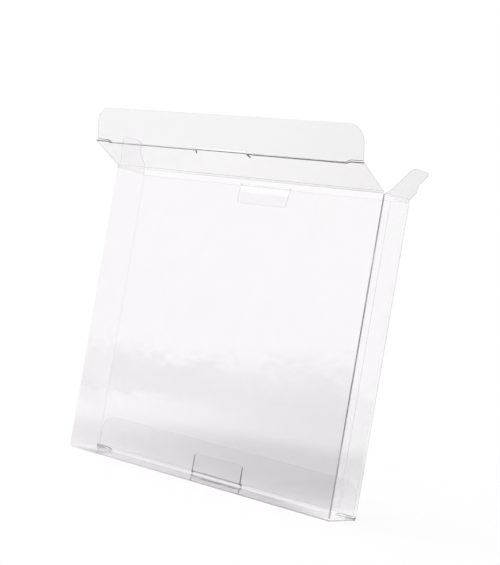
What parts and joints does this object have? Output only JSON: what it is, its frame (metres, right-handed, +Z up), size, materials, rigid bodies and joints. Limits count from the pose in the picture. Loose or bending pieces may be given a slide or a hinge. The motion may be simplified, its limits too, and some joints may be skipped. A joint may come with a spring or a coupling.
{
  "type": "game box protector",
  "caption": "Clear folding plastic box that slips over a game case: thin creased sleeve with a locked bottom, tuck lid, dust flaps and lock tab, shown standing with its top open",
  "frame": {"origin": "middle of the box's footprint, on the underside of its bottom panel", "axes": "+Z up the box, -Y its front, +X its right end seen from the front, which is its width and longest side"},
  "size_m": [0.1569, 0.0367, 0.1492],
  "materials": {
    "clear_sheet": "clear polished sheet"
  },
  "bodies": {
    "sleeve": {"sleeve": "clear_sheet"},
    "lid": {"lid": "clear_sheet"},
    "lid_tongue": {"lid_tongue": "clear_sheet"},
    "left_dust_flap": {"left_dust_flap": "clear_sheet"},
    "right_dust_flap": {"right_dust_flap": "clear_sheet"},
    "lock_tab": {"lock_tab": "clear_sheet"}
  },
  "joints": [
    {"name": "lid_crease", "type": "hinge", "parent": "sleeve", "child": "lid", "pos_m": [0, -0.0088, 0.1268], "axis": [1, 0, 0], "range_deg": [-152, 68], "stiffness_Nm_per_rad": 0.015},
    {"name": "tongue_crease", "type": "hinge", "parent": "lid", "child": "lid_tongue", "pos_m": [0, -0.0239, 0.13483], "axis": [1, 0, 0], "range_deg": [-42, 48], "stiffness_Nm_per_rad": 0.008},
    {"name": "left_dust_crease", "type": "hinge", "parent": "sleeve", "child": "left_dust_flap", "pos_m": [-0.0723, 0, 0.1263], "axis": [0, -1, 0], "range_deg": [-100, 80], "stiffness_Nm_per_rad": 0.001},
    {"name": "right_dust_crease", "type": "hinge", "parent": "sleeve", "child": "right_dust_flap", "pos_m": [0.0723, 0, 0.1263], "axis": [0, 1, 0], "range_deg": [-131, 49], "stiffness_Nm_per_rad": 0.001},
    {"name": "lock_tab_crease", "type": "hinge", "parent": "sleeve", "child": "lock_tab", "pos_m": [0, 0.0083, 0.1255], "axis": [-1, 0, 0], "range_deg": [-5, 175], "stiffness_Nm_per_rad": 0.0005}
  ]
}
